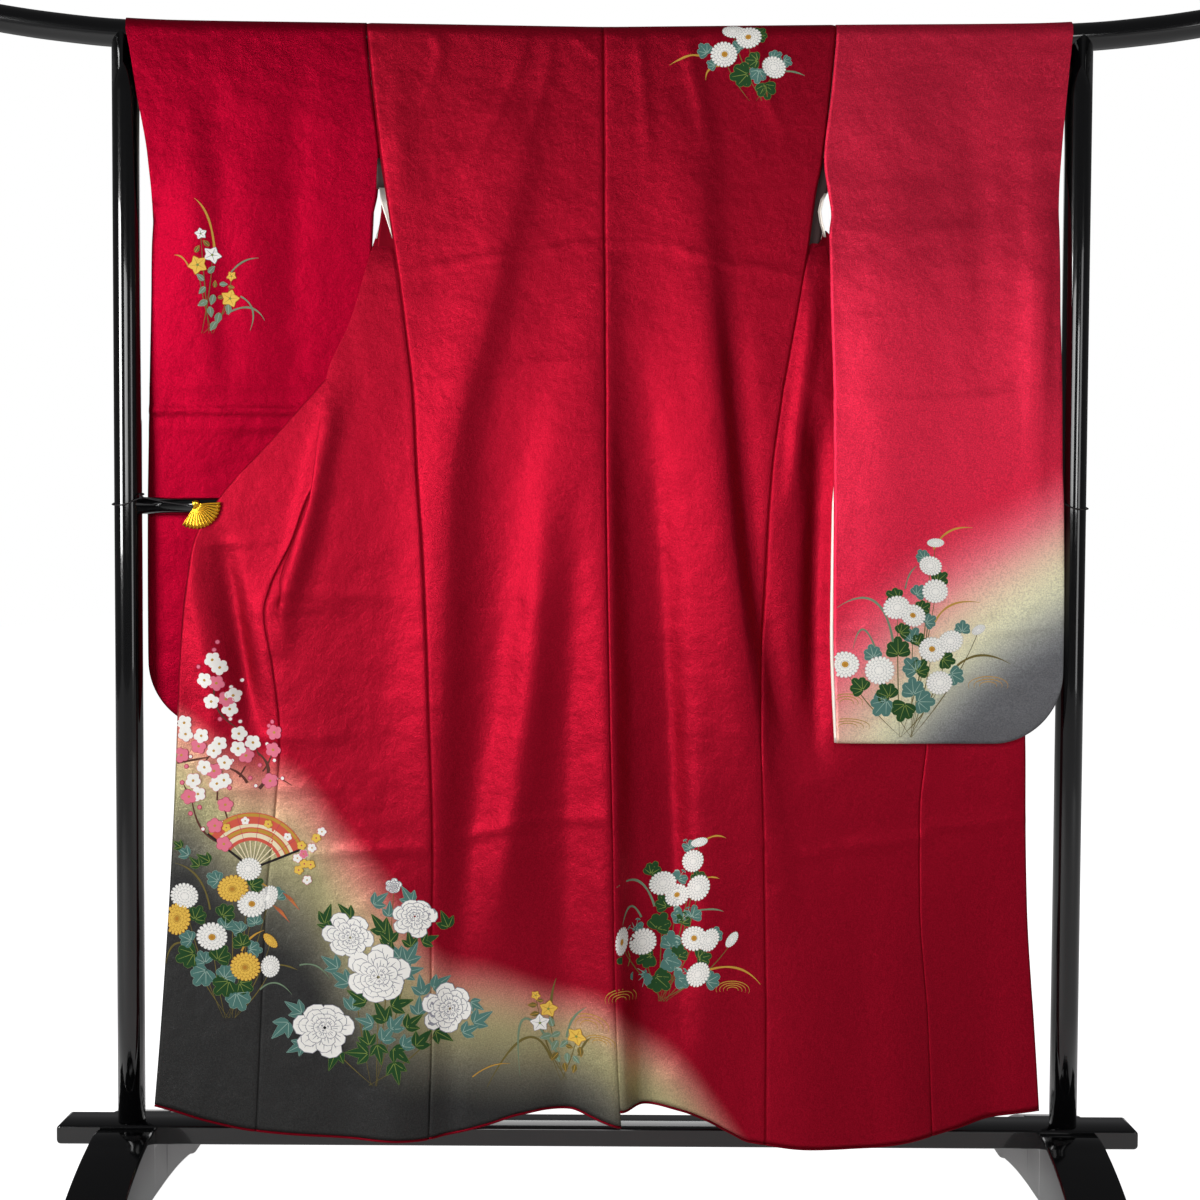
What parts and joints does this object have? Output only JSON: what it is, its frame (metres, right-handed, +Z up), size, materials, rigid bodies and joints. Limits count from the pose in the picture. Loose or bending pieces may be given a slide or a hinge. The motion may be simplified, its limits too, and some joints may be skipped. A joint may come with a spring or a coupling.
{
  "type": "furisode kimono on a lacquered kimono stand",
  "caption": "Long-sleeved silk kimono laid over the top rod of a black lacquered stand, its back to the viewer, the fronts drawn out to the sides by fan-shaped clips.",
  "frame": {"origin": "on the floor under the middle of the stand", "axes": "+Z up, +X to the right seen from the garment's back, +Y away from that viewer"},
  "size_m": [1.81, 0.414, 1.7347],
  "materials": {
    "silk": "crepe satin dyed crimson, shading to cream, grey and charcoal at the hem and one sleeve",
    "hem_lining": "plain dark red silk",
    "lacquer": "black gloss lacquer",
    "gilt_metal": "polished gilt",
    "elastic": "thin black covered elastic"
  },
  "bodies": {
    "root": {"top_rod": "lacquer", "rail": "lacquer", "beam": "lacquer", "post_left": "lacquer", "post_right": "lacquer", "foot_left": "lacquer", "foot_right": "lacquer", "fan_clip_left": "gilt_metal", "clip_cord_left": "elastic", "back_left": "silk", "hem_roll_back_left": "hem_lining", "front_left": "silk", "hem_roll_front_left": "hem_lining", "okumi_left": "silk", "hem_roll_okumi_left": "hem_lining", "sleeve_left_near": "silk", "sleeve_left_far": "silk", "fan_clip_right": "gilt_metal", "clip_cord_right": "elastic", "back_right": "silk", "hem_roll_back_right": "hem_lining", "front_right": "silk", "hem_roll_front_right": "hem_lining", "okumi_right": "silk", "hem_roll_okumi_right": "hem_lining", "sleeve_right_near": "silk", "sleeve_right_far": "silk", "collar": "silk"}
  },
  "joints": []
}
